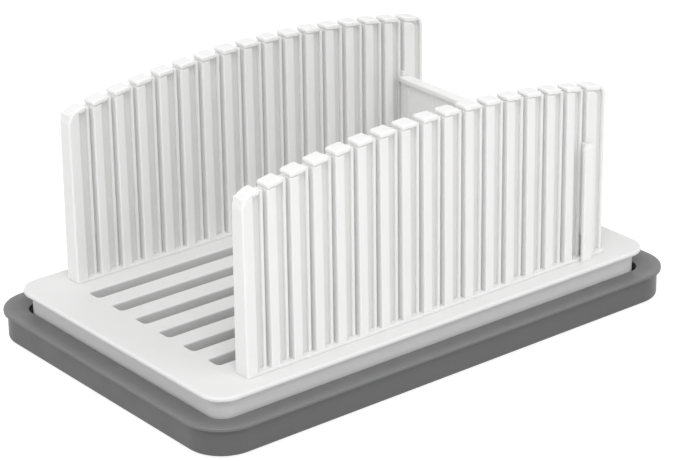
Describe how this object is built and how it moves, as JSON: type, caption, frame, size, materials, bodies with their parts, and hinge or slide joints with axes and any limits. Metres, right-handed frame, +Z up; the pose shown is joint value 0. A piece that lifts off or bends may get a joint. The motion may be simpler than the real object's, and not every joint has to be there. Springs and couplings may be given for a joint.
{
  "type": "bread slicer guide",
  "caption": "Bread slicing guide: slotted deck on a crumb tray, with two arched comb walls of knife slits and an end stop across the loaf channel.",
  "frame": {"origin": "on the surface the feet stand on, under the middle of the tray", "axes": "+Z up; +Y along the loaf, from the open front to the end stop; +X across the loaf, to the right when looking in from the open front"},
  "size_m": [0.1824, 0.2836, 0.1229],
  "materials": {
    "deck_plastic": "satin, lightly textured white moulding",
    "wall_plastic": "satin white moulding",
    "stop_plastic": "satin white moulding",
    "tray_plastic": "satin mid-grey moulding",
    "foot_rubber": "matt dark grey pad"
  },
  "bodies": {
    "tray": {"crumb_tray": "tray_plastic", "front_left_foot": "foot_rubber", "front_right_foot": "foot_rubber", "back_left_foot": "foot_rubber", "back_right_foot": "foot_rubber"},
    "deck": {"slotted_deck": "deck_plastic"},
    "left_wall": {"left_wall": "wall_plastic"},
    "right_wall": {"right_wall": "wall_plastic"},
    "back_stop": {"back_stop": "stop_plastic"}
  },
  "joints": [
    {"name": "deck_lift", "type": "slide", "parent": "tray", "child": "deck", "axis": [0, 0, 1], "range_m": [0, 0.04]},
    {"name": "left_wall_lift", "type": "slide", "parent": "deck", "child": "left_wall", "axis": [0, 0, 1], "range_m": [0, 0.01]},
    {"name": "right_wall_lift", "type": "slide", "parent": "deck", "child": "right_wall", "axis": [0, 0, 1], "range_m": [0, 0.01]},
    {"name": "back_stop_lift", "type": "slide", "parent": "deck", "child": "back_stop", "axis": [0, 0, 1], "range_m": [0, 0.08]}
  ]
}
